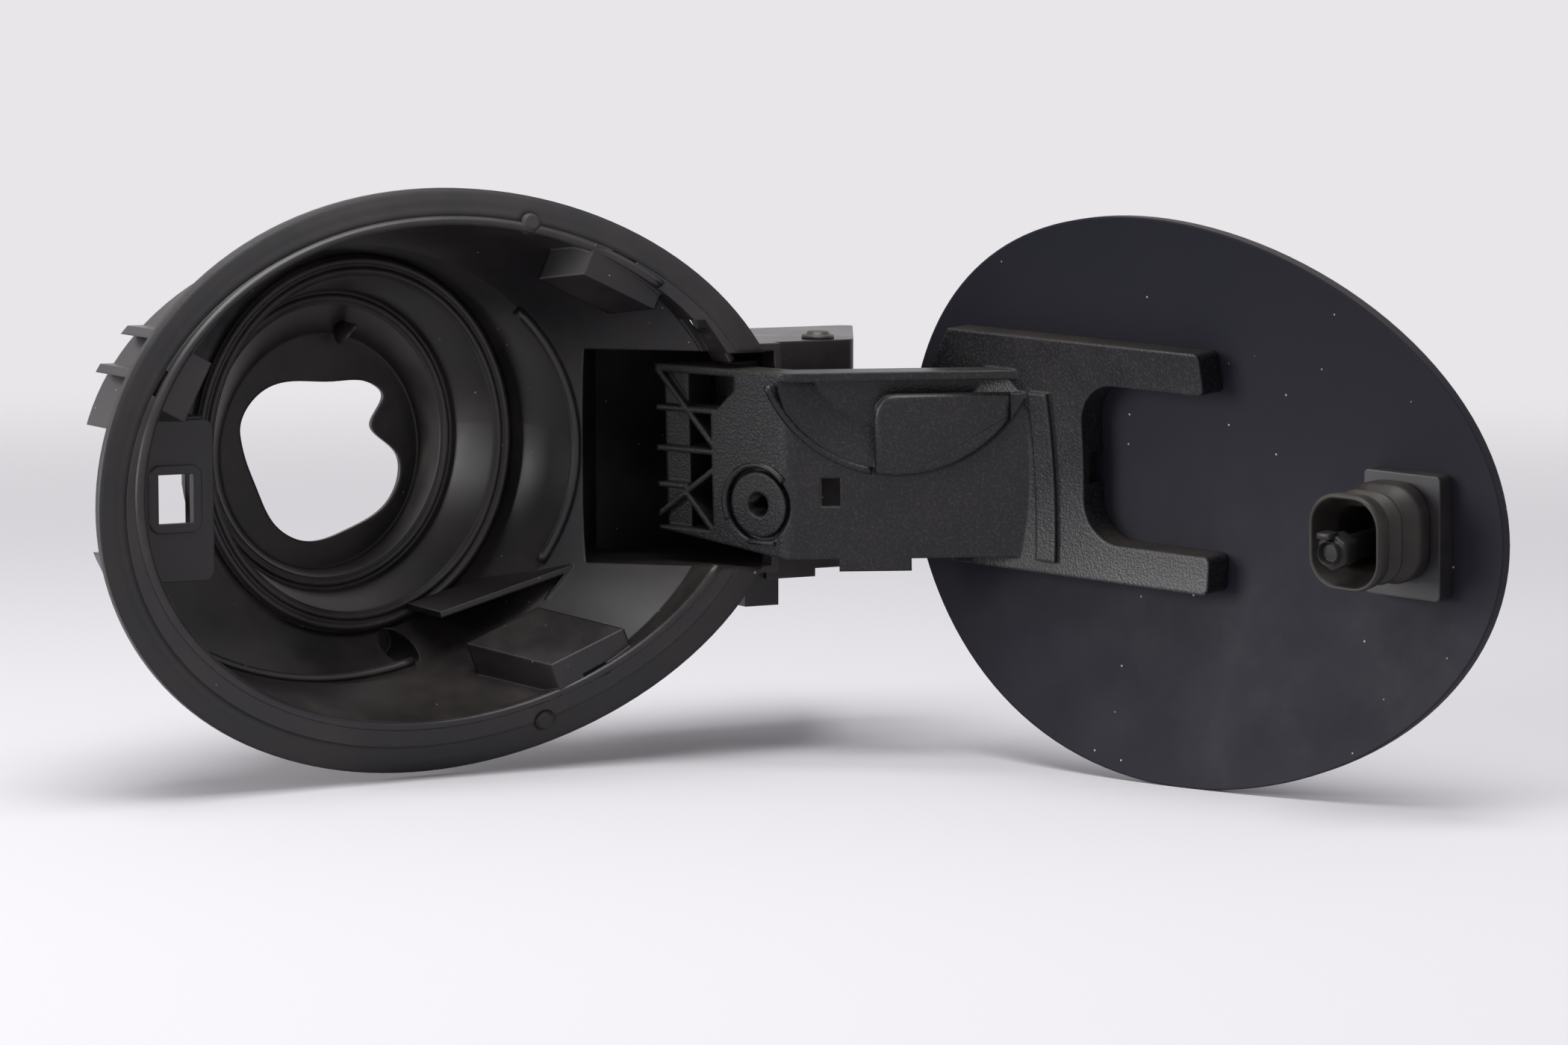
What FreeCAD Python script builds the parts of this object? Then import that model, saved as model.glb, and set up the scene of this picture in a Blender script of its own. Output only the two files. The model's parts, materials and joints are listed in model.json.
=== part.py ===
"""Fuel filler flap with its housing pot, gooseneck hinge arm and latch, in millimetres.

X runs to the right, Y into the car and Z up. The origin is the middle of the flange, on its outer face.
The flap and what it carries are drawn closed, then turned open about the hinge pin.
"""
import FreeCAD, Part
import math
import os

V = FreeCAD.Vector

# Flange and the curved body panel that it follows
PANEL_RADIUS = 185.0
PANEL_TURN = 4.2
RIM_HALF_WIDTH = 102.4
RIM_HALF_HEIGHT = 79.4
RIM_THICKNESS = 2.8
SEAL_WIDTH = 7.5
TONGUE_LENGTH = 3.0
TONGUE_THICKNESS = 1.0

# Pot: an oval mouth, a slanting wall, and a floor that runs to the tilted neck ring
WALL = 2.2
MOUTH_HALF_WIDTH = 89.4
MOUTH_HALF_HEIGHT = 67.2
MOUTH_X = -0.3
MOUTH_Z = 2.4
MOUTH_DEPTH = 14.0
FLOOR_HALF_WIDTH = 73.5
FLOOR_HALF_HEIGHT = 60.0
FLOOR_X = -15.2
FLOOR_Z = 3.4
FLOOR_DEPTH = 45.0
FLANGE_STEP = 0.4
RING_RADIUS = 53.0
RING_X = -4.2
RING_DEPTH = 60.0
RING_Z = 7.2
RING_TILT = 10.0
RING_LIP = 4.0
RING_RIM = 2.4

# Soft neck boot, on the neck ring's own axis
BOOT_WALL = 1.8
BOOT_COLLAR = 1.6
BOOT_FIT = 0.3
BOOT_STEP_RADIUS = 42.0
BOOT_STEP_DEPTH = 13.0
BOOT_RING_RADIUS = 38.5
BOOT_FLOOR_RADIUS = 33.5
BOOT_FLOOR_DEPTH = 26.0
BOOT_FLOOR_SHIFT = (6.0, -4.2)
BEAD_RADIUS = 1.0
BEAD_MARGIN = 1.5
NECK_HOLE = [(-29, 9), (-27, 1), (-24, -6), (-18, -17), (-7, -22.5), (7, -19.8), (20, -13), (24, -5),
             (23, 1), (14.5, 10), (18.5, 18.4), (16, 20.8), (1, 22.6), (-21.5, 21)]

# Clip towers behind the flange: middle of the inner edge, outward direction, length and depth
TOWERS = [(53.3, 50.6, 65.0, 24.0, 11.0), (43.5, -47.2, -68.6, 24.0, 21.0), (-72.2, 27.6, 152.6, 17.0, 24.0)]
TOWER_ROOT = 10.0

# Release slots in the flange: middle, outward direction and depth
SLOTS = [(54.5, 59.9, 65.0, 12.0), (46.1, -54.6, -68.6, 1.4), (-83.2, 30.3, 152.6, 1.5)]
SLOT_SIZE = (7.5, 3.0)

# Ribs on the pot's floor, as pairs of places, and their front edge
FLOOR_RIBS = [((12.0, -39.5), (53.0, -28.5)), ((53.0, -28.5), (45.0, -37.5))]
FLOOR_RIB_FRONT = 38.0
FLOOR_RIB_WIDTH = 1.8

# Room for the latch drive in the pot's left wall
DRIVE_TOP = 17.0
DRIVE_BOTTOM = -17.5
DRIVE_RIGHT = -58.4
DRIVE_FRONT = 24.0
RAIL_RIGHT = -61.0
FIN_TIP = 3.2
FIN_HEIGHTS = (31.0, 41.0)
SPOUT_X = 5.5
SPOUT_Z = -49.8
SPOUT_RADIUS = 4.3
SPOUT_LENGTH = 24.0
SPOUT_OUTLET = 2.6

# Hinge axis, which leans outwards at the top
HINGE_X = 119.4
HINGE_Y = 17.2
LEAN_X = -0.44
LEAN_Y = -2.89
OPEN_ANGLE = 109.5
PIN_RADIUS = 2.0
PIN_HEAD_RADIUS = 4.6
PIN_HEAD_HEIGHT = 2.4
PIN_HEAD_SEAT = 0.3
PIN_FIT = 0.02
PIN_CLEARANCE = 0.05
HUB_RADIUS = 4.2
HUB_END_GAP = 0.45
HUB_CLEARANCE = 0.5

# Hinge pocket beside the pot
POCKET_TOP = 33.0
POCKET_FLOOR = -27.0
POCKET_FRONT = 11.8
POCKET_BACK = 64.5
POCKET_SWEEP = 66.0
POCKET_SLOPE = 60.7
POCKET_SIDE_GAP = 4.3
POCKET_ROUND = 3.0
MOUTH_LEFT = 61.0
STRIP_X = 99.2
STRIP_START = 2.0
SHOULDER_ROOM = 2.2
SHOULDER_ROOM_BACK = 13.2
PIN_BOSS_TOP = -21.7
RELIEF_LEFT = 105.0
RELIEF_BOTTOM = 8.0
RELIEF_DEPTH = 1.0
BRACKET_LEFT = 99.5
BRACKET_BACK = 26.0
BRACKET_BOTTOM = -31.5
LUG_LEFT = 94.0
LUG_RIGHT = 104.5
LUG_BOTTOM = -39.2

# Flap panel
FLAP_GAP = 2.6
FLAP_LIFT = 1.6
FLAP_THICKNESS = 3.2

# Hinge arm, drawn closed
FORK_HEIGHT = 9.0
FORK_TOP = 41.2
FORK_BOTTOM = -24.6
PRONG_END = -12.5
PRONG_UPPER_INSIDE = 29.6
PRONG_LOWER_INSIDE = -14.4
FORK_THROAT = 30.5
THROAT_ROUND = 12.0
SHOULDER_X = 75.0
FORK_RIGHT = 82.5
SHOULDER_DROP = 10.4
STRIP_FROM = 41.0
STRIP_WIDTH = 6.8
STRIP_RISE = 1.5
ARM_TOP = 31.2
ARM_BOTTOM = -21.0
ARM_DEPTH = 7.0
ARM_WEB = 2.4
ARM_WALL = 2.5
FACET_START_X = 49.2
FACET_ANGLE = 39.0
FACET_LENGTH = 67.0
BOW_ANGLE = 7.0
BOW_LENGTH = 44.4
BEND_ROUND = 9.0
REST_RADIUS = 38.4
REST_ALONG = 36.0
REST_CENTRE_Z = 41.6
REST_DEPTH = 5.4
REST_BACK_RADIUS = 27.0
TAB_END = 42.6
TAB_TOP = 25.0
TAB_THICKNESS = 2.0
TAB_PROUD = 1.0
TAB_ROUND = 5.0
BOSS_ALONG = 10.0
BOSS_Z = -6.3
BOSS_RADIUS = 9.1
BOSS_MOAT = 1.5
BOSS_MOAT_DEPTH = 2.4
TETHER_BORE_RADIUS = 3.4
SLOT_ALONG = 52.4
SLOT_LENGTH = 5.3
SLOT_BOTTOM = -6.2
SLOT_HEIGHT = 8.0
RIB_ALONG = 25.5
RIB_THICKNESS = 1.5
RIB_BOTTOM = -15.8
RISE_ALONG = 2.0
RIB_FLOOR = 2.2
RIB_STEP_ALONG = 34.5
RIB_FIELD = [(RIB_ALONG, -15.0), (RIB_ALONG, 17.5), (17.3, 25.3), (17.3, 29.0), (60.0, 29.0), (60.0, -15.0)]
RIBS = [((46.0, 32.0), (25.0, 9.0)), ((25.0, 2.4), (46.0, -13.0)), ((35.2, -4.6), (24.0, -17.0)),
        ((17.0, 18.7), (46.0, 18.7)), ((25.0, 7.2), (46.0, 7.2)), ((34.0, -3.2), (46.0, -3.2))]
FIN_ALONG = 33.0
FIN_LENGTH = 20.0
FIN_DROP = 3.5
FIN_WIDTH = 2.0
HOLLOW_FROM = 16.0
HOLLOW_TOP = 2.0
PRONG_ROUND = 2.0
STRIP_SKEW = 2.6
STRIP_TOP = 25.5
CLIP_DEPTH = 3.0
CLIP_ROOF = 3.0
CLIP_FROM = 0.5
CLIP_TO = 9.5

# Latch
LATCH_X = -69.8
LATCH_Z = -2.6
PLATE_FACE = 29.0
PLATE_THICKNESS = 2.0
PLATE_LEFT = -85.4
PLATE_RIGHT = -58.7
PLATE_TOP = 18.5
PLATE_BOTTOM = -25.0
PLATE_ROUND = 3.0
WINDOW_WIDTH = 10.0
WINDOW_HEIGHT = 13.3
WINDOW_FRAME = 2.4
WINDOW_FRAME_RISE = 0.8
BASE_WIDTH = 23.8
BASE_HEIGHT = 33.0
BASE_X = -72.3
BASE_Z = -2.2
BASE_RISE = 6.0
BASE_ROUND = 1.5
LATCH_RISE = 1.5
BELLOWS_WIDTH = 22.0
BELLOWS_HEIGHT = 25.0
BELLOWS_ROUND = 7.5
BELLOWS_WALL = 1.4
BELLOWS_END_GAP = 1.4

# Folds of the bellows: share of its length from the base, and growth of its outline
BELLOWS_FOLDS = [(0.0, 0.0), (0.3, 0.3), (0.39, -2.4), (0.5, -0.4), (0.59, -2.4), (0.7, -0.6), (1.0, 0.0)]
HOOK_WIDTH = 8.0
HOOK_HEIGHT = 9.6
HOOK_LENGTH = 6.0
HOOK_LEAD = 2.0
HOOK_SHANK_RADIUS = 3.4
HOOK_HOLE_RADIUS = 2.1
HOOK_CHAMFER = 2.1

# Flap stops on the flange
BUMPER_RADIUS = 2.8
BUMPER_GAP = 0.3
BUMPER_DEPTH = 2.0
BUMPER_CHAMFER = 0.8
UPPER_BUMPER = (28.1, RIM_HALF_HEIGHT - 9.7)
LOWER_BUMPER = (31.9, 12.3 - RIM_HALF_HEIGHT)

# Detent spring in the hinge pocket
SPRING_THICKNESS = 0.5
SPRING_HEIGHT = 14.0
SPRING_LEFT = 104.0
SPRING_BEND = 113.0
SPRING_RISE = 0.3

REACH = 400.0
FRONT = -20.0
BACK = 60.0


def panel_cylinder(lift):
    """The body panel's curved face, moved outwards by lift; its inside lies towards the car."""
    turn = math.radians(PANEL_TURN)
    along = V(math.cos(turn), 0, math.sin(turn))
    start = V(0, PANEL_RADIUS, 0) - along * REACH
    return Part.makeCylinder(PANEL_RADIUS + lift, 2 * REACH, start, along)


def panel_shell(outer_lift, inner_lift):
    """A curved sheet between two lifts of the panel's face."""
    return panel_cylinder(outer_lift).cut(panel_cylinder(inner_lift))


def panel_depth(x, z):
    """How far the body panel's face lies behind the origin at a place."""
    turn = math.radians(PANEL_TURN)
    across = z * math.cos(turn) - x * math.sin(turn)
    return PANEL_RADIUS - math.sqrt(PANEL_RADIUS ** 2 - across ** 2)


def oval_wire(half_width, half_height, x, y, z):
    """An oval that faces the front, turned with the body panel."""
    wire = Part.Wire(Part.Ellipse(V(0, 0, 0), half_width, half_height).toShape())
    wire.rotate(V(0, 0, 0), V(1, 0, 0), 90)
    wire.rotate(V(0, 0, 0), V(0, 1, 0), -PANEL_TURN)
    wire.translate(V(x, y, z))
    return wire


def ring_wire(radius, x, y, z):
    """A circle that faces the front, with its seam where the ovals have theirs."""
    wire = Part.Wire(Part.Circle(V(0, 0, 0), V(0, 0, 1), radius).toShape())
    wire.rotate(V(0, 0, 0), V(1, 0, 0), 90)
    wire.rotate(V(0, 0, 0), V(0, 1, 0), -PANEL_TURN)
    wire.translate(V(x, y, z))
    return wire


def oval_prism(half_width, half_height, front, back):
    """A straight oval block from the front plane to the back plane."""
    return Part.Face(oval_wire(half_width, half_height, 0, front, 0)).extrude(V(0, back - front, 0))


def front_prism(points, front, back):
    """A block whose outline, in X and Z, faces the front."""
    corners = [V(x, front, z) for x, z in points]
    return Part.Face(Part.makePolygon(corners + corners[:1])).extrude(V(0, back - front, 0))


def plan_prism(points, bottom, top):
    """A block whose outline, in X and Y, is seen from above."""
    corners = [V(x, y, bottom) for x, y in points]
    return Part.Face(Part.makePolygon(corners + corners[:1])).extrude(V(0, 0, top - bottom))


def box(x0, x1, y0, y1, z0, z1):
    return Part.makeBox(x1 - x0, y1 - y0, z1 - z0, V(x0, y0, z0))


def round_edges(shape, radius, direction, wanted):
    """Rounds the straight edges along a direction whose middle point is wanted."""
    edges = []
    for edge in shape.Edges:
        if len(edge.Vertexes) != 2 or not isinstance(edge.Curve, Part.Line):
            continue
        run = (edge.Vertexes[1].Point - edge.Vertexes[0].Point).normalize()
        if abs(run.dot(direction)) > 0.999 and wanted(edge.CenterOfMass):
            edges.append(edge)
    return shape.makeFillet(radius, edges) if edges else shape


def rounded_block(x0, x1, y0, y1, z0, z1, radius):
    """A box with its four corners rounded as seen from the front."""
    return round_edges(box(x0, x1, y0, y1, z0, z1), radius, V(0, 1, 0), lambda p: True)


def hinge_axis():
    """A point on the hinge pin's axis and the axis direction, upwards."""
    lean = V(math.sin(math.radians(LEAN_X)), math.sin(math.radians(LEAN_Y)), 1)
    return V(HINGE_X, HINGE_Y, 0), lean.normalize()


def on_hinge(radius, bottom, top):
    """A round bar on the hinge axis between two heights."""
    point, lean = hinge_axis()
    return Part.makeCylinder(radius, top - bottom, point + lean * bottom, lean)


def pocket_line(offset, y):
    """X on a line beside the hinge, parallel to the pocket's sloping end wall."""
    slope = math.radians(POCKET_SLOPE)
    return HINGE_X + (y - HINGE_Y) / math.tan(slope) + offset / math.sin(slope)


def ring_axis():
    """Middle of the neck ring and the direction of its axis into the car."""
    tilt = math.radians(RING_TILT)
    return V(RING_X, RING_DEPTH, RING_Z), V(-math.sin(tilt), math.cos(tilt), 0)


def neck_wire(radius, depth, across=0.0, up=0.0):
    """A circle on the neck ring's axis, at a depth behind the ring."""
    middle, axis = ring_axis()
    wire = ring_wire(radius, 0, 0, 0)
    wire.rotate(V(0, 0, 0), V(0, 0, 1), RING_TILT)
    side = V(axis.y, -axis.x, 0)
    wire.translate(middle + axis * depth + side * across + V(0, 0, up))
    return wire


def neck_disc(radius, start, end):
    """A round block on the neck ring's axis between two depths."""
    return Part.Face(neck_wire(radius, start)).extrude(ring_axis()[1] * (end - start))


def pot_form(grow):
    """The pot's form: a straight mouth, a slanting wall and a floor; grown by the wall for the outside."""
    width = MOUTH_HALF_WIDTH + grow
    height = MOUTH_HALF_HEIGHT + grow
    front = oval_wire(width, height, MOUTH_X, FRONT, MOUTH_Z)
    mouth = oval_wire(width, height, MOUTH_X, MOUTH_DEPTH, MOUTH_Z)
    floor = oval_wire(FLOOR_HALF_WIDTH + grow, FLOOR_HALF_HEIGHT + grow, FLOOR_X, FLOOR_DEPTH, FLOOR_Z)
    straight = Part.makeLoft([front, mouth], True, True)
    wall = Part.makeLoft([mouth, floor], True, True)
    base = Part.makeLoft([floor, neck_wire(RING_RADIUS + grow, 0)], True, True)
    return straight.multiFuse([wall, base])


def pocket_block(grow):
    """The hinge pocket's room, or its outside when grown by the wall."""
    front = POCKET_FRONT - grow
    back = POCKET_BACK + grow
    side = HUB_RADIUS + POCKET_SIDE_GAP + grow
    outline = [
        (HINGE_X - POCKET_SWEEP, front),
        (pocket_line(side, front), front),
        (pocket_line(side, back), back),
        (HINGE_X - POCKET_SWEEP, back),
    ]
    block = plan_prism(outline, POCKET_FLOOR - grow, POCKET_TOP + grow)
    sweep = Part.makeCylinder(POCKET_SWEEP + grow, 2 * REACH, V(HINGE_X, HINGE_Y, -REACH))
    return block.common(sweep)


def arm_mouth():
    """The gap in the flange and the pot's wall through which the arm swings."""
    return box(MOUTH_LEFT, STRIP_X, FRONT, POCKET_FRONT + 1.0, POCKET_FLOOR, POCKET_TOP)


def shoulder_room(grow):
    """Room in the flange's inner edge for the fork plate's upper corner, or its cover when grown."""
    top = FORK_TOP + SHOULDER_ROOM / 2 + grow
    side = SHOULDER_ROOM + grow
    bottom = POCKET_TOP - WALL / 2
    outline = [
        (FACET_START_X, bottom),
        (FACET_START_X, top),
        (SHOULDER_X + side, top),
        (FORK_RIGHT + side, FORK_TOP - SHOULDER_DROP),
        (FORK_RIGHT + side, bottom),
    ]
    return front_prism(outline, FRONT, SHOULDER_ROOM_BACK + grow)


def mouth_frame():
    """Walls behind the flange that frame the arm's gap, up to the hinge pocket."""
    outside = box(MOUTH_LEFT, STRIP_X + WALL, STRIP_START, POCKET_FRONT,
                  POCKET_FLOOR - WALL, POCKET_TOP + WALL)
    return outside.common(panel_cylinder(-RIM_THICKNESS))


def turned_block(x, z, turn, length, inner, outer, front, back):
    """A block that faces the front, with one side turned outwards from a place."""
    out = V(math.cos(math.radians(turn)), 0, math.sin(math.radians(turn)))
    side = V(-out.z, 0, out.x) * (length / 2)
    start = V(x, front, z)
    corners = [start + out * inner - side, start + out * outer - side,
               start + out * outer + side, start + out * inner + side]
    return Part.Face(Part.makePolygon(corners + corners[:1])).extrude(V(0, back - front, 0))


def wall_slide(x, z):
    """How the slanting wall moves between the mouth and the floor, near a place."""
    angle = math.atan2((z - MOUTH_Z) / MOUTH_HALF_HEIGHT, (x - MOUTH_X) / MOUTH_HALF_WIDTH)
    across = FLOOR_X - MOUTH_X + (FLOOR_HALF_WIDTH - MOUTH_HALF_WIDTH) * math.cos(angle)
    up = FLOOR_Z - MOUTH_Z + (FLOOR_HALF_HEIGHT - MOUTH_HALF_HEIGHT) * math.sin(angle)
    return V(across, FLOOR_DEPTH - MOUTH_DEPTH, up)


def clip_tower(x, z, turn, length, depth):
    """A tower that stands on the wall behind the flange and follows the wall inwards."""
    front = panel_depth(x, z) + RIM_THICKNESS
    slide = wall_slide(x, z)
    face = turned_block(x, z, turn, length, 0, TOWER_ROOT, front, front + 1)
    face = min(face.Faces, key=lambda f: f.CenterOfMass.y)
    return face.extrude(slide * (depth / slide.y)).common(pot_form(WALL))


def release_slot(x, z, turn, depth):
    """A slot in the flange for the tool that lets a clip go."""
    length, width = SLOT_SIZE
    front = panel_depth(x, z)
    return turned_block(x, z, turn, length, -width / 2, width / 2, FRONT, front + depth)


def floor_rib(start, end):
    """A thin upright rib on the pot's floor between two places."""
    run = math.hypot(end[0] - start[0], end[1] - start[1])
    turn = math.degrees(math.atan2(end[1] - start[1], end[0] - start[0]))
    half = FLOOR_RIB_WIDTH / 2
    middle_x = (start[0] + end[0]) / 2
    middle_z = (start[1] + end[1]) / 2
    block = turned_block(middle_x, middle_z, turn + 90, run, -half, half, FLOOR_RIB_FRONT, RING_DEPTH)
    return block.common(pot_form(WALL / 2))


def drive_rails():
    """Ledges beside the latch drive's room, which carry the latch plate."""
    start = PLATE_FACE + PLATE_THICKNESS
    upper = box(-REACH, RAIL_RIGHT, start, RING_DEPTH, DRIVE_TOP, DRIVE_TOP + WALL)
    lower = box(-REACH, RAIL_RIGHT, start, RING_DEPTH, DRIVE_BOTTOM - WALL, DRIVE_BOTTOM)
    return upper.fuse(lower).common(pot_form(WALL))


def drive_room():
    """The opening in the left wall and floor that the latch drive sits in."""
    side = box(-REACH, -FLOOR_HALF_WIDTH, DRIVE_FRONT, REACH, DRIVE_BOTTOM, DRIVE_TOP)
    start = PLATE_FACE + PLATE_THICKNESS
    floor = box(-REACH, DRIVE_RIGHT, start, REACH, DRIVE_BOTTOM, DRIVE_TOP)
    return side.fuse(floor)


def side_fins():
    """Thin level fins outside the left wall."""
    form = pot_form(WALL + FIN_TIP)
    fins = []
    for height in FIN_HEIGHTS:
        sheet = box(-REACH, -FLOOR_HALF_WIDTH / 2, MOUTH_DEPTH, FLOOR_DEPTH, height, height + WALL)
        fins.append(sheet.common(form))
    return fins


def drain(radius, length):
    """A round bar on the drain's axis: the spout's outside, or its bore."""
    return Part.makeCylinder(radius, length, V(SPOUT_X, FLOOR_DEPTH, SPOUT_Z), V(0, 1, 0))


def drain_bore():
    """The drain's blind bore, with an outlet downwards at its end."""
    length = SPOUT_LENGTH - WALL
    outlet = V(SPOUT_X, FLOOR_DEPTH + length - SPOUT_OUTLET, SPOUT_Z)
    return drain(SPOUT_RADIUS, length).fuse(Part.makeCylinder(SPOUT_OUTLET, BACK, outlet, V(0, 0, -1)))


def arm_relief():
    """Room in the pocket's front wall for the leaning hub and the leg of the open arm."""
    leg = box(RELIEF_LEFT, HINGE_X, POCKET_FRONT - RELIEF_DEPTH, POCKET_FRONT, RELIEF_BOTTOM, POCKET_TOP)
    return leg.fuse(on_hinge(HUB_RADIUS + HUB_CLEARANCE, PIN_BOSS_TOP, POCKET_TOP))


def pocket_bracket():
    """The stepped bracket under the hinge pocket."""
    front = POCKET_FRONT - WALL
    right = pocket_line(0, front)
    plate = box(BRACKET_LEFT, right, front, BRACKET_BACK, BRACKET_BOTTOM, POCKET_FLOOR)
    lug = box(LUG_LEFT, LUG_RIGHT, front + WALL, BRACKET_BACK, LUG_BOTTOM, POCKET_FLOOR)
    return plate.fuse(lug)


def flange_tongue():
    """The pot's outer edge, which the soft lip is moulded round."""
    width = RIM_HALF_WIDTH - SEAL_WIDTH + TONGUE_LENGTH
    height = RIM_HALF_HEIGHT - SEAL_WIDTH + TONGUE_LENGTH
    sheet = panel_shell(-(RIM_THICKNESS - TONGUE_THICKNESS) / 2, -(RIM_THICKNESS + TONGUE_THICKNESS) / 2)
    return oval_prism(width, height, FRONT, BACK).common(sheet)


def filler_pot():
    """The moulded pot with its flange band, hinge pocket, clip towers and latch rails."""
    band = oval_prism(RIM_HALF_WIDTH - SEAL_WIDTH, RIM_HALF_HEIGHT - SEAL_WIDTH, FRONT, BACK)
    band = band.common(panel_shell(0, -RIM_THICKNESS)).fuse(flange_tongue())
    pocket = round_edges(pocket_block(WALL), POCKET_ROUND, V(0, 0, 1), lambda p: p.x > HINGE_X)
    ring_rim = neck_disc(RING_RADIUS + WALL, -1, RING_RIM)
    walls = pot_form(WALL).multiFuse([pocket, ring_rim]).common(panel_cylinder(-FLANGE_STEP))
    spout = drain(SPOUT_RADIUS + WALL, SPOUT_LENGTH)
    cover = shoulder_room(WALL).common(panel_cylinder(-RIM_THICKNESS))
    body = band.multiFuse([walls, mouth_frame(), pocket_bracket(), spout, cover] + side_fins())
    body = body.cut(pot_form(0)).cut(pocket_block(0)).cut(arm_mouth()).cut(shoulder_room(0))
    body = body.cut(neck_disc(RING_RADIUS - RING_LIP, -5, BACK))
    towers = [clip_tower(*place) for place in TOWERS]
    ribs = [floor_rib(*ends) for ends in FLOOR_RIBS]
    pin_boss = on_hinge(HUB_RADIUS + WALL / 2, POCKET_FLOOR - 1, PIN_BOSS_TOP)
    body = body.multiFuse(towers + ribs + [drive_rails(), pin_boss])
    rooms = [release_slot(*place) for place in SLOTS]
    rooms += [drive_room(), plate_block(), drain_bore(), arm_relief()]
    rooms += [bumper(UPPER_BUMPER), bumper(LOWER_BUMPER)]
    for room in rooms:
        body = body.cut(room)
    return body.cut(on_hinge(PIN_RADIUS + PIN_FIT, -REACH / 4, REACH / 4))


def rim_seal():
    """The soft lip round the flange, grooved for the pot's tongue and open where the arm swings."""
    inner_width = RIM_HALF_WIDTH - SEAL_WIDTH
    inner_height = RIM_HALF_HEIGHT - SEAL_WIDTH
    lip = oval_prism(RIM_HALF_WIDTH, RIM_HALF_HEIGHT, FRONT, BACK).common(panel_shell(0, -RIM_THICKNESS))
    lip = lip.cut(oval_prism(inner_width, inner_height, FRONT, BACK))
    gap = box(MOUTH_LEFT, REACH, FRONT, POCKET_FRONT, POCKET_FLOOR, POCKET_TOP)
    return lip.cut(flange_tongue()).cut(gap).cut(bumper(UPPER_BUMPER)).cut(bumper(LOWER_BUMPER))


def boot_form(grow):
    """The boot's stepped funnel from the neck ring to its floor."""
    step = BOOT_STEP_DEPTH + grow
    sleeve = [neck_wire(RING_RADIUS - RING_LIP - BOOT_WALL - BOOT_FIT + grow, -BOOT_COLLAR),
              neck_wire(BOOT_STEP_RADIUS + grow, step)]
    funnel = [neck_wire(BOOT_RING_RADIUS + grow, step),
              neck_wire(BOOT_FLOOR_RADIUS + grow, BOOT_FLOOR_DEPTH + grow, *BOOT_FLOOR_SHIFT)]
    return Part.makeLoft(sleeve, True, True).fuse(Part.makeLoft(funnel, True, True))


def bead(radius, depth):
    """A round bead on the neck ring's axis."""
    middle, axis = ring_axis()
    return Part.makeTorus(radius, BEAD_RADIUS, middle + axis * depth, axis)


def neck_hole():
    """The worn hole that the filler neck passes through, as a soft closed curve."""
    points = [V(x, RING_DEPTH, z) for x, z in NECK_HOLE]
    curve = Part.BSplineCurve()
    curve.interpolate(points, PeriodicFlag=True)
    return Part.Face(Part.Wire(curve.toShape())).extrude(V(0, REACH / 4, 0))


def neck_boot():
    """The soft boot: a collar in the neck ring, two beads and the funnel with its worn hole."""
    bore = RING_RADIUS - RING_LIP - BOOT_WALL - BOOT_FIT
    collar = neck_disc(RING_RADIUS - BOOT_FIT, -BOOT_COLLAR, 0).cut(neck_disc(bore, -BACK, BACK))
    beads = [bead(RING_RADIUS - BOOT_FIT - BEAD_MARGIN, -BOOT_COLLAR), bead(bore + BEAD_MARGIN, -BOOT_COLLAR),
             bead((BOOT_RING_RADIUS + BOOT_STEP_RADIUS) / 2, BOOT_STEP_DEPTH)]
    skin = boot_form(BOOT_WALL).cut(boot_form(0))
    return skin.multiFuse([collar] + beads).cut(neck_hole())


def window_block(margin, front, back):
    """A block round the latch axis: the latch window, or its frame when a margin is added."""
    half_width = WINDOW_WIDTH / 2 + margin
    half_height = WINDOW_HEIGHT / 2 + margin
    return box(LATCH_X - half_width, LATCH_X + half_width, front, back,
               LATCH_Z - half_height, LATCH_Z + half_height)


def plate_block():
    """The latch plate's outline, which also cuts its seat in the pot's wall."""
    back = PLATE_FACE + PLATE_THICKNESS
    return rounded_block(PLATE_LEFT, PLATE_RIGHT, PLATE_FACE, back, PLATE_BOTTOM, PLATE_TOP, PLATE_ROUND)


def latch_plate():
    """The clip-in plate with the window that the hook enters."""
    frame = window_block(WINDOW_FRAME, PLATE_FACE - WINDOW_FRAME_RISE, PLATE_FACE + PLATE_THICKNESS)
    frame = round_edges(frame, PLATE_ROUND, V(0, 1, 0), lambda p: True)
    return plate_block().fuse(frame).cut(window_block(0, FRONT, BACK))


def panel_normal(x, z):
    """The direction straight out of the body panel at a place."""
    turn = math.radians(PANEL_TURN)
    across = z * math.cos(turn) - x * math.sin(turn)
    up = V(-math.sin(turn), 0, math.cos(turn)) * across
    return (up + V(0, panel_depth(x, z) - PANEL_RADIUS, 0)).normalize()


def bumper(place):
    """A rubber stop with a bevelled end, pushed into a hole in the flange."""
    x, z = place
    out = panel_normal(x, z)
    foot = V(x, panel_depth(x, z), z) - out * BUMPER_DEPTH
    height = BUMPER_DEPTH + FLAP_LIFT - BUMPER_GAP
    stem = Part.makeCylinder(BUMPER_RADIUS, height, foot, out)
    end = max(stem.Edges, key=lambda e: (e.CenterOfMass - foot).dot(out))
    return stem.makeChamfer(BUMPER_CHAMFER, [end])


def hinge_pin():
    """The pin through the hinge pocket, with its head on top."""
    top = POCKET_TOP + WALL + PIN_HEAD_HEIGHT
    shaft = on_hinge(PIN_RADIUS, POCKET_FLOOR - WALL, top)
    head = on_hinge(PIN_HEAD_RADIUS, POCKET_TOP + WALL + PIN_HEAD_SEAT, top)
    return shaft.fuse(head).removeSplitter()


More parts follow.
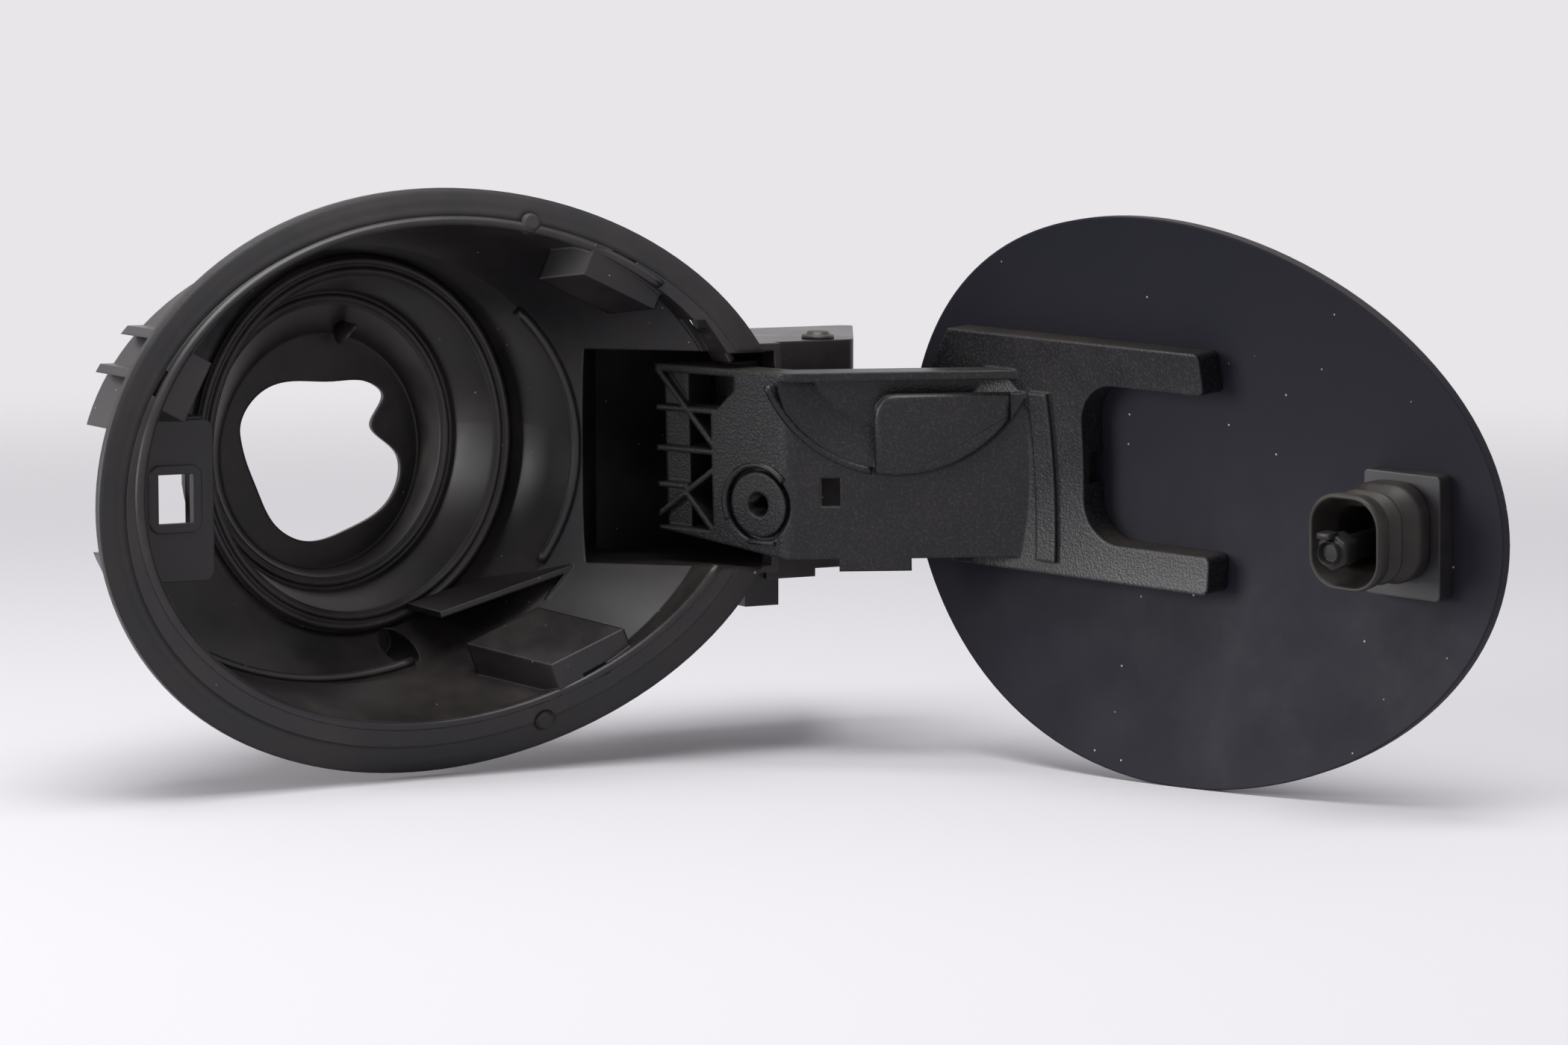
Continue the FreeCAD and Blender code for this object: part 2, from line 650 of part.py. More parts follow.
def detent_spring():
    """A leaf on the pocket's front wall, with its end bent towards the hub."""
    back = POCKET_FRONT + SPRING_THICKNESS
    outline = [
        (SPRING_LEFT, POCKET_FRONT),
        (SPRING_BEND, POCKET_FRONT),
        (HINGE_X, POCKET_FRONT + SPRING_RISE),
        (HINGE_X, back + SPRING_RISE),
        (SPRING_BEND, back),
        (SPRING_LEFT, back),
    ]
    return plan_prism(outline, -SPRING_HEIGHT, 0)


def flap_panel():
    """The oval panel, curved like the car's side."""
    width = RIM_HALF_WIDTH - FLAP_GAP
    height = RIM_HALF_HEIGHT - FLAP_GAP
    sheet = panel_shell(FLAP_LIFT + FLAP_THICKNESS, FLAP_LIFT)
    return oval_prism(width, height, FRONT, BACK).common(sheet)


class Facet:
    """A flat face of the arm: places are given along it, up it and out of it."""

    def __init__(self, x, y, angle):
        self.start = V(x, y, 0)
        self.along = V(math.cos(math.radians(angle)), math.sin(math.radians(angle)), 0)
        self.out = V(-self.along.y, self.along.x, 0)

    def at(self, along, up, out=0.0):
        return self.start + self.along * along + V(0, 0, up) + self.out * out

    def distance(self, point):
        """How far along the face a point lies."""
        return (point - self.start).dot(self.along)

    def block(self, outline, out_from, out_to):
        """A prism over an outline of (along, up) points."""
        corners = [self.at(s, z, out_from) for s, z in outline]
        return Part.Face(Part.makePolygon(corners + corners[:1])).extrude(self.out * (out_to - out_from))

    def slab(self, s0, s1, z0, z1, out_from, out_to):
        return self.block([(s0, z0), (s1, z0), (s1, z1), (s0, z1)], out_from, out_to)

    def disc(self, along, up, radius, out_from, out_to):
        return Part.makeCylinder(radius, out_to - out_from, self.at(along, up, out_from), self.out)

    def rib(self, start, end, thickness, out_from, out_to):
        """A straight rib between two (along, up) places."""
        run = math.hypot(end[0] - start[0], end[1] - start[1])
        side_s = -(end[1] - start[1]) / run * thickness / 2
        side_z = (end[0] - start[0]) / run * thickness / 2
        outline = [
            (start[0] - side_s, start[1] - side_z),
            (end[0] - side_s, end[1] - side_z),
            (end[0] + side_s, end[1] + side_z),
            (start[0] + side_s, start[1] + side_z),
        ]
        return self.block(outline, out_from, out_to)


def meet(facet_a, depth_a, facet_b, depth_b):
    """Where two facets, each sunk by a depth, cross in plan."""
    a = facet_a.at(0, 0, -depth_a)
    b = facet_b.at(0, 0, -depth_b)
    cross = facet_a.along.x * facet_b.along.y - facet_a.along.y * facet_b.along.x
    gap = b - a
    s = (gap.x * facet_b.along.y - gap.y * facet_b.along.x) / cross
    return a + facet_a.along * s


def arm_facets():
    """The slanting face, the bow's face and the leg that comes back to the hub."""
    face_y = FORK_HEIGHT - FLAP_LIFT
    slant = Facet(FACET_START_X, face_y, FACET_ANGLE)
    bend = slant.at(FACET_LENGTH, 0)
    bow = Facet(bend.x, bend.y, BOW_ANGLE)
    return slant, bow


def fork_plate():
    """The forked foot that lies on the flap's inner face."""
    outline = [
        (PRONG_END, FORK_TOP),
        (SHOULDER_X, FORK_TOP),
        (FORK_RIGHT, FORK_TOP - SHOULDER_DROP),
        (FORK_RIGHT, FORK_BOTTOM + SHOULDER_DROP),
        (SHOULDER_X, FORK_BOTTOM),
        (PRONG_END, FORK_BOTTOM),
        (PRONG_END, PRONG_LOWER_INSIDE),
        (FORK_THROAT, PRONG_LOWER_INSIDE),
        (FORK_THROAT, PRONG_UPPER_INSIDE),
        (PRONG_END, PRONG_UPPER_INSIDE),
    ]
    plate = front_prism(outline, FRONT, BACK)
    plate = round_edges(plate, THROAT_ROUND, V(0, 1, 0), lambda p: abs(p.x - FORK_THROAT) < 0.1)
    plate = round_edges(plate, PRONG_ROUND, V(0, 1, 0), lambda p: abs(p.x - PRONG_END) < 0.1)
    plate = plate.common(panel_shell(FLAP_LIFT, FLAP_LIFT - FORK_HEIGHT))
    foot = STRIP_FROM - STRIP_SKEW
    strip = front_prism([(foot, ARM_BOTTOM), (foot + STRIP_WIDTH, ARM_BOTTOM),
                         (STRIP_FROM + STRIP_WIDTH, STRIP_TOP), (STRIP_FROM, STRIP_TOP)], FRONT, BACK)
    strip = strip.common(panel_shell(FLAP_LIFT - FORK_HEIGHT / 2, FLAP_LIFT - FORK_HEIGHT - STRIP_RISE))
    clip_roof = FORK_HEIGHT - FLAP_LIFT - CLIP_ROOF
    clip = box(FORK_THROAT - 1, FORK_THROAT + CLIP_DEPTH, FRONT, clip_roof, CLIP_FROM, CLIP_TO)
    return plate.fuse(strip).cut(clip)


def bow_outline(slant, bow):
    """The gooseneck seen from above: slanting face, bow and the leg back to the hub."""
    slope = math.radians(POCKET_SLOPE)
    side = V(math.sin(slope), -math.cos(slope), 0) * HUB_RADIUS
    hub = V(HINGE_X, HINGE_Y, 0)
    leg = Facet(hub.x - side.x, hub.y - side.y, POCKET_SLOPE)
    outer_end = meet(bow, 0, Facet(hub.x + side.x, hub.y + side.y, POCKET_SLOPE), 0)
    plate = Facet(0, FORK_HEIGHT - FLAP_LIFT, 0)
    root = meet(slant, ARM_DEPTH, plate, FORK_HEIGHT / 2)
    start = meet(slant, 0, plate, FORK_HEIGHT / 2)
    points = [start, slant.at(FACET_LENGTH, 0), outer_end, hub + side, hub - side,
              meet(leg, 0, bow, ARM_DEPTH), meet(slant, ARM_DEPTH, bow, ARM_DEPTH), root]
    return [(p.x, p.y) for p in points]


def cap_rest(slant):
    """The half-moon pocket that the loose cap is hung in, and the tab that keeps it there."""
    bowl = Part.makeCone(REST_BACK_RADIUS, REST_RADIUS, REST_DEPTH,
                         slant.at(REST_ALONG, REST_CENTRE_Z, -REST_DEPTH), slant.out)
    disc = slant.disc(REST_ALONG, REST_CENTRE_Z, REST_RADIUS, 0, BACK)
    below = slant.slab(-BACK, 2 * BACK, -BACK, ARM_TOP - ARM_WALL, -REST_DEPTH, BACK)
    pocket = bowl.fuse(disc).common(below)
    tab_back = TAB_PROUD - TAB_THICKNESS
    keep = slant.disc(REST_ALONG, REST_CENTRE_Z, REST_RADIUS + TAB_PROUD, tab_back, TAB_PROUD)
    tab = slant.slab(REST_ALONG - REST_RADIUS, TAB_END, -BACK, TAB_TOP, tab_back, TAB_PROUD)
    tab = round_edges(tab, TAB_ROUND, slant.out, lambda p: p.z > 0 and slant.distance(p) > REST_ALONG)
    return pocket, keep.common(tab)


def rib_field(bow):
    """The bow's open end: a field that is cut through and then only sunk, and the ribs that cross it."""
    deep = bow.block(RIB_FIELD, -2 * ARM_DEPTH, BACK)
    deep = deep.cut(bow.slab(RIB_STEP_ALONG, 2 * BOW_LENGTH, -BACK, BACK, -3 * ARM_DEPTH, -RIB_FLOOR))
    return deep, [bow.rib(start, end, RIB_THICKNESS, -ARM_DEPTH, 0) for start, end in RIBS]


def tether_boss(bow):
    """The groove round the cap tether's boss, and the bore through it."""
    moat = bow.disc(BOSS_ALONG, BOSS_Z, BOSS_RADIUS + BOSS_MOAT, -BOSS_MOAT_DEPTH, BACK)
    moat = moat.cut(bow.disc(BOSS_ALONG, BOSS_Z, BOSS_RADIUS, -BACK, BACK))
    return moat, bow.disc(BOSS_ALONG, BOSS_Z, TETHER_BORE_RADIUS, -2 * ARM_DEPTH, BACK)


def hinge_arm():
    """The gooseneck arm on its forked foot, in one moulding."""
    slant, bow = arm_facets()
    neck = plan_prism(bow_outline(slant, bow), ARM_BOTTOM, ARM_TOP)
    bend = slant.at(FACET_LENGTH, 0)
    neck = round_edges(neck, BEND_ROUND, V(0, 0, 1), lambda p: math.hypot(p.x - bend.x, p.y - bend.y) < 1)
    below = ARM_BOTTOM - ARM_WALL
    rise = [(RISE_ALONG, below), (3 * BOW_LENGTH, below), (3 * BOW_LENGTH, RIB_BOTTOM),
            (BOW_LENGTH, RIB_BOTTOM), (RISE_ALONG, ARM_BOTTOM)]
    neck = neck.cut(bow.block(rise, -3 * BACK, BACK))
    field, ribs = rib_field(bow)
    bars = [rib.common(neck) for rib in ribs]
    hollow = slant.slab(HOLLOW_FROM, FACET_LENGTH - ARM_DEPTH, ARM_BOTTOM + ARM_WALL, HOLLOW_TOP,
                        -ARM_DEPTH - 1, -ARM_WEB)
    pocket, tab = cap_rest(slant)
    slot = slant.slab(SLOT_ALONG, SLOT_ALONG + SLOT_LENGTH, SLOT_BOTTOM, SLOT_BOTTOM + SLOT_HEIGHT,
                      -2 * ARM_DEPTH, BACK)
    moat, bore = tether_boss(bow)
    neck = neck.cut(field).multiFuse(bars).cut(hollow).cut(pocket).cut(slot).cut(moat)
    fin = slant.slab(FIN_ALONG, FIN_ALONG + FIN_LENGTH, ARM_BOTTOM - FIN_DROP, ARM_BOTTOM + ARM_WALL,
                     -FIN_WIDTH, 0)
    hub = on_hinge(HUB_RADIUS, PIN_BOSS_TOP + HUB_END_GAP, POCKET_TOP - HUB_END_GAP)
    arm = neck.multiFuse([tab, fin, hub, fork_plate()])
    return arm.cut(bore).cut(on_hinge(PIN_RADIUS + PIN_CLEARANCE, -BACK, BACK)).removeSplitter()


def latch_base():
    """The carrier on the flap's inner face."""
    half_width = BASE_WIDTH / 2
    half_height = BASE_HEIGHT / 2
    block = rounded_block(BASE_X - half_width, BASE_X + half_width, FRONT, BASE_RISE - FLAP_LIFT,
                          BASE_Z - half_height, BASE_Z + half_height, BASE_ROUND)
    return block.common(panel_cylinder(FLAP_LIFT))


def bellows_wire(share, grow):
    """The bellows' outline, a block with round corners, at a share of its length from the base."""
    base = BASE_RISE - FLAP_LIFT
    front = PLATE_FACE - WINDOW_FRAME_RISE - BELLOWS_END_GAP
    y = base + (front - base) * share
    half_width = BELLOWS_WIDTH / 2 + grow
    half_height = BELLOWS_HEIGHT / 2 + grow
    middle = LATCH_Z + LATCH_RISE
    block = rounded_block(LATCH_X - half_width, LATCH_X + half_width, y, y + 1,
                          middle - half_height, middle + half_height, BELLOWS_ROUND + grow)
    return min(block.Faces, key=lambda f: f.CenterOfMass.y).OuterWire


def latch_boot():
    """The rubber bellows: folds that widen and narrow from the base to the thin front ring."""
    outside = [bellows_wire(share, grow) for share, grow in BELLOWS_FOLDS]
    folds = [Part.makeLoft(list(pair), True, True) for pair in zip(outside, outside[1:])]
    narrow = min(grow for share, grow in BELLOWS_FOLDS) - BELLOWS_WALL
    bore = Part.Face(bellows_wire(0, narrow)).extrude(V(0, PLATE_FACE, 0))
    ring = [bellows_wire(share, grow - BELLOWS_WALL) for share, grow in BELLOWS_FOLDS[-2:]]
    return folds[0].multiFuse(folds[1:]).cut(bore).cut(Part.makeLoft(ring, True, True))


def latch_bar(radius, start, end):
    """A round bar on the latch axis."""
    return Part.makeCylinder(radius, end - start, V(LATCH_X, start, LATCH_Z + LATCH_RISE), V(0, 1, 0))


def latch_hook():
    """The shank inside the bellows, with the bevelled head that enters the window."""
    head_start = PLATE_FACE - HOOK_LEAD
    tip = head_start + HOOK_LENGTH
    shank = latch_bar(HOOK_SHANK_RADIUS, BASE_RISE - FLAP_LIFT, tip - HOOK_LENGTH / 2)
    middle = LATCH_Z + LATCH_RISE
    head = box(LATCH_X - HOOK_WIDTH / 2, LATCH_X + HOOK_WIDTH / 2, head_start, tip,
               middle - HOOK_HEIGHT / 2, middle + HOOK_HEIGHT / 2)
    free_edges = [e for e in head.Edges if abs(e.CenterOfMass.y - head_start) > 0.1]
    head = head.makeChamfer(HOOK_CHAMFER, free_edges)
    return shank.fuse(head).cut(latch_bar(HOOK_HOLE_RADIUS, tip - HOOK_LENGTH / 2, tip + 1))


def opened(shape):
    """Turns a piece of the flap from closed to the open rest position."""
    point, lean = hinge_axis()
    turned = shape.copy()
    turned.rotate(point, lean, OPEN_ANGLE)
    return turned


HOUSING = {
    "filler_pot": filler_pot,
    "rim_seal": rim_seal,
    "neck_boot": neck_boot,
    "latch_plate": latch_plate,
    "upper_bumper": lambda: bumper(UPPER_BUMPER),
    "lower_bumper": lambda: bumper(LOWER_BUMPER),
    "hinge_pin": hinge_pin,
    "detent_spring": detent_spring,
}
FLAP = {
    "flap_panel": flap_panel,
    "hinge_arm": hinge_arm,
    "latch_base": latch_base,
    "latch_boot": latch_boot,
    "latch_hook": latch_hook,
}

os.makedirs("parts", exist_ok=True)
for name, make in HOUSING.items():
    make().exportStep("parts/" + name + ".step")
for name, make in FLAP.items():
    opened(make()).exportStep("parts/" + name + ".step")
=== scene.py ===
# %% [markdown]
# # A fuel filler flap, swung open on its gooseneck arm
#
# The object is a black plastic pot from the side of a car, with a soft rubber boot as its floor, an oval flap
# on a bent hinge arm, and a small rubber bellows that hides the latch hook. The solids come in as a fixed
# frame, and this lesson gives them their finishes, the small forms that only show, the light and the camera.

# %% Load the frame
import json
import math
import bmesh
import bpy
from mathutils import Matrix, Vector


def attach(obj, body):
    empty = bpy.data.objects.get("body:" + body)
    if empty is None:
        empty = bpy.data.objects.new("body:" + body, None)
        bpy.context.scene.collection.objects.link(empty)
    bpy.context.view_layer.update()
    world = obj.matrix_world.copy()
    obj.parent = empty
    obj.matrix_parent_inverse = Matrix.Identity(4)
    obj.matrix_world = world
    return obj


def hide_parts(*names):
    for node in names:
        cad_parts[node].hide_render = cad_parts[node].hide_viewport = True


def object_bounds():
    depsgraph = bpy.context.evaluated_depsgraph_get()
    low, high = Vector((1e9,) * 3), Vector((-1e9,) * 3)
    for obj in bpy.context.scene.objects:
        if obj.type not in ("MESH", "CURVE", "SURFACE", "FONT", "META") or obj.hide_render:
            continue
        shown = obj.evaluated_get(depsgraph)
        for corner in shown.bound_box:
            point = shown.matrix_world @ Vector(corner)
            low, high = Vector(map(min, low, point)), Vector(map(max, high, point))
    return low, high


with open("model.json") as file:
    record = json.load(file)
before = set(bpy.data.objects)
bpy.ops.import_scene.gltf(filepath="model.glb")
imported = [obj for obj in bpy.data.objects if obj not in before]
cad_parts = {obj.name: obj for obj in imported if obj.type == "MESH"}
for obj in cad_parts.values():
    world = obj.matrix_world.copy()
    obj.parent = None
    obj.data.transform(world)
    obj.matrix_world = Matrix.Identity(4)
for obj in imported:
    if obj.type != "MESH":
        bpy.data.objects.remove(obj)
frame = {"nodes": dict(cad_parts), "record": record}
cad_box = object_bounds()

nodes = frame["nodes"]
print("nodes:", sorted(nodes))
print("box in mm:", [[round(c * 1000, 1) for c in corner] for corner in cad_box])

# %% [markdown]
# ## The camera
#
# The camera was found by fitting the flange, the flap and the hinge to the photograph at once. A long lens
# stands well back, a little above the flange, and looks at the gap between the pot and the flap. It could be
# placed by eye, but with a fitted camera every later difference is a difference of shape.

# %% Camera
MM = 0.001
CAMERA_AZIMUTH = -28.728
CAMERA_ELEVATION = 5.859
CAMERA_DISTANCE = 1366.94 * MM
CAMERA_TARGET = Vector((99.81, 0.0, -14.62)) * MM
CAMERA_SENSOR = 36.0
CAMERA_LENS = 112.565

azimuth = math.radians(CAMERA_AZIMUTH)
elevation = math.radians(CAMERA_ELEVATION)
level = math.cos(elevation)
back = Vector((math.sin(azimuth) * level, -math.cos(azimuth) * level, math.sin(elevation)))
camera = bpy.data.objects.new("camera", bpy.data.cameras.new("camera"))
camera.data.sensor_width = CAMERA_SENSOR
camera.data.lens = CAMERA_LENS
camera.data.clip_start = 0.05
camera.data.clip_end = 50.0
camera.location = CAMERA_TARGET + back * CAMERA_DISTANCE
camera.rotation_euler = (-back).to_track_quat("-Z", "Y").to_euler()
bpy.context.scene.collection.objects.link(camera)
bpy.context.scene.camera = camera
print("camera at", [round(c, 3) for c in camera.location])

# %% [markdown]
# ## Helpers for materials
#
# Colours are written as sRGB hex values, as a colour picker shows them, and one function turns them to the
# linear numbers that a shader needs. A second small function adds a node, sets its values and makes its links,
# so that each material below reads as a list of what it is made of.

# %% Colour and node helpers
def linear(hex_colour):
    """sRGB hex to linear red, green, blue and alpha."""
    parts = [int(hex_colour[i:i + 2], 16) / 255 for i in (1, 3, 5)]
    return tuple(c / 12.92 if c <= 0.04045 else ((c + 0.055) / 1.055) ** 2.4 for c in parts) + (1.0,)


def add(tree, kind, values=None, links=None, **settings):
    """Adds a node, sets its properties and input values, and links outputs of other nodes to its inputs."""
    node = tree.nodes.new(kind)
    for key, value in settings.items():
        setattr(node, key, value)
    for key, value in (values or {}).items():
        node.inputs[key].default_value = value
    for key, source in (links or {}).items():
        tree.links.new(source, node.inputs[key])
    return node


def new_material(name):
    """An empty node material, its tree and its output node."""
    material = bpy.data.materials.new(name)
    material.use_nodes = True
    material.node_tree.nodes.clear()
    return material, material.node_tree, material.node_tree.nodes.new("ShaderNodeOutputMaterial")


print("grey 50% is", round(linear("#808080")[0], 3))

# %% [markdown]
# ## Moulded black plastic and rubber
#
# The pot is polypropylene, the arm a stiffer filled nylon, the flap a smooth blend, and the soft pieces are
# rubber, all moulded in black. What the eye reads is not the colour but the surface: how wide the sheen
# spreads, how coarse the grain of the mould is, and where dust has settled. So one function makes the family,
# and each finish sets its own colour, roughness, grain and dust. Dust lies as a thin brownish film in clouds,
# thicker on faces that look upwards, and as single pale specks. On the arm the tops of the grain get a painted
# glint, a paler colour in place of sparkle. A Bevel node rounds the normals at edges, as a mould does, so that
# edges catch the light.

# %% Plastic family
DUST = "#7a7064"
SPECK = "#c9c2b8"
# GLINT is the paler colour of a painted glint on the tops of the grain, in place of sparkle.
GLINT = "#6b6870"
CLOUD_MM = 24.0
PLASTIC_IOR = 1.5


def moulded(name, colour, roughness, specular, grain_mm, grain_height, film, settled, speck_mm, edge_mm,
            glint=0.0):
    """A moulded finish: grain in the normal, a dust film, settled dust on level faces, specks and painted glints.
    """
    material, tree, output = new_material(name)
    place = add(tree, "ShaderNodeTexCoord").outputs["Object"]
    grain = add(tree, "ShaderNodeTexNoise", {"Scale": 1.0 / (grain_mm * MM), "Detail": 2.0}, {"Vector": place})
    clouds = add(tree, "ShaderNodeTexNoise", {"Scale": 1.0 / (CLOUD_MM * MM), "Detail": 6.0, "Roughness": 0.65},
                 {"Vector": place})
    veil = add(tree, "ShaderNodeMapRange", {"From Min": 0.42, "From Max": 0.78, "To Max": film},
               {"Value": clouds.outputs["Fac"]})
    facing_up = add(tree, "ShaderNodeSeparateXYZ", links={0: add(tree, "ShaderNodeNewGeometry").outputs["Normal"]})
    level_dust = add(tree, "ShaderNodeMapRange", {"From Min": 0.55, "From Max": 1.0, "To Max": settled},
                     {"Value": facing_up.outputs["Z"]})
    patchy = add(tree, "ShaderNodeMath", links={0: level_dust.outputs["Result"], 1: clouds.outputs["Fac"]},
                 operation="MULTIPLY")
    dust = add(tree, "ShaderNodeMath", links={0: veil.outputs["Result"], 1: patchy.outputs["Value"]},
               operation="ADD", use_clamp=True)
    # Painted glint: where the grain stands highest, the colour is mixed towards GLINT, in place of sparkle.
    painted_glint_mask = add(tree, "ShaderNodeMapRange", {"From Min": 0.5, "From Max": 0.72, "To Max": glint},
                {"Value": grain.outputs["Fac"]})
    grain_and_painted_glint = add(tree, "ShaderNodeMix", {6: linear(colour), 7: linear(GLINT)}, {0: painted_glint_mask.outputs["Result"]},
                  data_type="RGBA")
    tone = add(tree, "ShaderNodeMix", {7: linear(DUST)}, {0: dust.outputs["Value"], 6: grain_and_painted_glint.outputs[2]},
               data_type="RGBA")
    spots = add(tree, "ShaderNodeTexVoronoi", {"Scale": 1.0 / (speck_mm * MM)}, {"Vector": place})
    speck = add(tree, "ShaderNodeMapRange", {"From Min": 0.015, "From Max": 0.045, "To Min": 0.7, "To Max": 0.0},
                {"Value": spots.outputs["Distance"]})
    speckled = add(tree, "ShaderNodeMix", {7: linear(SPECK)}, {0: speck.outputs["Result"], 6: tone.outputs[2]},
                   data_type="RGBA")
    dull = add(tree, "ShaderNodeMapRange",
               {"From Min": 0.3, "From Max": 0.7, "To Min": roughness - 0.05, "To Max": roughness + 0.09},
               {"Value": clouds.outputs["Fac"]})
    rounded = add(tree, "ShaderNodeBevel", {"Radius": edge_mm * MM}, samples=6)
    relief = add(tree, "ShaderNodeBump", {"Strength": 1.0, "Distance": grain_height * MM},
                 {"Height": grain.outputs["Fac"], "Normal": rounded.outputs["Normal"]})
    shader = add(tree, "ShaderNodeBsdfPrincipled", {"IOR": PLASTIC_IOR, "Specular IOR Level": specular},
                 {"Base Color": speckled.outputs[2], "Roughness": dull.outputs["Result"],
                  "Normal": relief.outputs["Normal"]})
    tree.links.new(shader.outputs["BSDF"], output.inputs["Surface"])
    return material


# The pot's polypropylene is satin and smooth, with grime in clouds: soft wide sheens, brown where dust lies.
pot_plastic = moulded("polypropylene_moulded_satin", "#1b191b", roughness=0.34, specular=0.45, grain_mm=1.3,
                      grain_height=0.010, film=0.09, settled=0.10, speck_mm=6.0, edge_mm=0.8)
# The soft lip is duller and smoother than the pot, and its edges are fully round.
lip_rubber = moulded("soft_lip_elastomer_moulded", "#151315", roughness=0.46, specular=0.45, grain_mm=1.4,
                     grain_height=0.008, film=0.06, settled=0.08, speck_mm=14.0, edge_mm=2.4)
# The boot is soft rubber: broad dull lights on its rings, and dust in the folds.
boot_rubber = moulded("neck_boot_rubber_moulded", "#1e1b1c", roughness=0.40, specular=0.48, grain_mm=1.8,
                      grain_height=0.012, film=0.12, settled=0.16, speck_mm=9.0, edge_mm=1.2)
# Plate and latch carrier are plain moulded acetal with a fine spark-eroded grain.
plate_plastic = moulded("acetal_plate_moulded", "#1d1b1e", roughness=0.44, specular=0.42, grain_mm=0.9,
                        grain_height=0.012, film=0.06, settled=0.10, speck_mm=14.0, edge_mm=0.7)
# The stops are matte rubber.
bumper_rubber = moulded("bumper_rubber_moulded", "#151315", roughness=0.50, specular=0.42, grain_mm=0.9,
                        grain_height=0.012, film=0.08, settled=0.15, speck_mm=14.0, edge_mm=0.8)
# The pin is steel under a thin black coat, a little shinier than the plastic.
pin_coat = moulded("pin_steel_black_coated", "#161617", roughness=0.38, specular=0.50, grain_mm=0.7,
                   grain_height=0.010, film=0.08, settled=0.20, speck_mm=14.0, edge_mm=0.5)
# The spring is phosphated steel, hidden in the pocket.
spring_steel = moulded("spring_steel_phosphated", "#3a3a3c", roughness=0.40, specular=0.50, grain_mm=0.6,
                       grain_height=0.006, film=0.06, settled=0.10, speck_mm=14.0, edge_mm=0.1)
# The flap is a matte blue-black blend: an even face with single white specks.
flap_plastic = moulded("flap_blend_moulded_matte", "#15151e", roughness=0.62, specular=0.19, grain_mm=0.7,
                       grain_height=0.006, film=0.01, settled=0.30, speck_mm=8.0, edge_mm=0.9)
# The arm is glass-filled nylon with an eroded grain, drawn coarser than life so that it shows; a painted
# glint on the tops of the grain stands in for its sparkle.
arm_plastic = moulded("filled_nylon_moulded_grain_painted_glint", "#121114", roughness=0.33, specular=0.32, grain_mm=0.7,
                      grain_height=0.090, film=0.03, settled=0.22, speck_mm=26.0, edge_mm=1.1, glint=0.13)
# The bellows are dull rubber with a brown bloom.
bellows_rubber = moulded("bellows_rubber_moulded", "#171413", roughness=0.50, specular=0.36, grain_mm=0.9,
                         grain_height=0.030, film=0.12, settled=0.12, speck_mm=9.0, edge_mm=0.5)
# The hook is smooth acetal.
hook_plastic = moulded("hook_acetal_moulded", "#131214", roughness=0.40, specular=0.24, grain_mm=0.8,
                       grain_height=0.008, film=0.04, settled=0.05, speck_mm=14.0, edge_mm=0.4)

finishes = {
    "filler_pot": pot_plastic, "rim_seal": lip_rubber, "neck_boot": boot_rubber, "latch_plate": plate_plastic,
    "upper_bumper": bumper_rubber, "lower_bumper": bumper_rubber, "hinge_pin": pin_coat,
    "detent_spring": spring_steel, "flap_panel": flap_plastic, "hinge_arm": arm_plastic,
    "latch_base": plate_plastic, "latch_boot": bellows_rubber, "latch_hook": hook_plastic,
}
for name, node in nodes.items():
    node.data.materials.clear()
    node.data.materials.append(finishes[name])
print("finishes on", len(nodes), "nodes")

# %% [markdown]
# ## Places on the object
#
# New pieces are modelled in millimetres in an easy pose and then put in place with one matrix. The flap's
# pieces were drawn shut and swung open about the hinge, so their matrix does the same: it takes a face's own
# axes, x to the viewer's right, y up and z out of the face, and turns them open with the record's hinge.

# %% Places
hinge = frame["record"]["behaviour"]["joints"][0]
pivot = Vector(hinge["pos_m"])
swing = Matrix.Rotation(math.radians(-hinge["range_deg"][0]), 4, Vector(hinge["axis"]))
open_turn = Matrix.Translation(pivot) @ swing @ Matrix.Translation(-pivot)
FRONT_FACE = Matrix.Rotation(math.pi / 2, 4, "X") @ Matrix.Scale(MM, 4)
AS_DRAWN = Matrix.Scale(MM, 4)


def on_arm(x, y, z, angle):
    """Own axes of a face on the flap's side, at a place in mm on the shut flap, in the open pose."""
    turn = math.radians(angle)
    across, along = math.cos(turn), math.sin(turn)
    rows = ((-across, 0, -along, x * MM), (-along, 0, across, y * MM), (0, 1, 0, z * MM), (0, 0, 0, 1))
    return open_turn @ Matrix(rows) @ Matrix.Scale(MM, 4)


def put(name, mesh, matrix, body, finish):
    """Moves a bmesh to its place, makes it an object, and lets it ride on a body."""
    bmesh.ops.transform(mesh, matrix=matrix, verts=mesh.verts)
    bmesh.ops.recalc_face_normals(mesh, faces=mesh.faces)
    for face in mesh.faces:
        face.smooth = True
    data = bpy.data.meshes.new(name)
    mesh.to_mesh(data)
    mesh.free()
    data.materials.append(finish)
    piece = bpy.data.objects.new(name, data)
    bpy.context.scene.collection.objects.link(piece)
    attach(piece, body)
    print(name, len(data.polygons), "faces")
    return piece


print("flap swings", round(-hinge["range_deg"][0], 1), "degrees")

# %% [markdown]
# ## Beads
#
# Rolled edges and raised beads run round the flange, the pot's floor, the cap rest and the tether boss. Each
# is a round section that follows an arc. A bevelled curve could do it, but a spin shows plainly what
# is made: a small disc, swept about an axis, and then squeezed to the oval where the arc isn't a circle.

# %% Spun bead
BEAD_SIDES = 14
BEAD_STEP = 2.5
BEAD_FEWEST_STEPS = 8


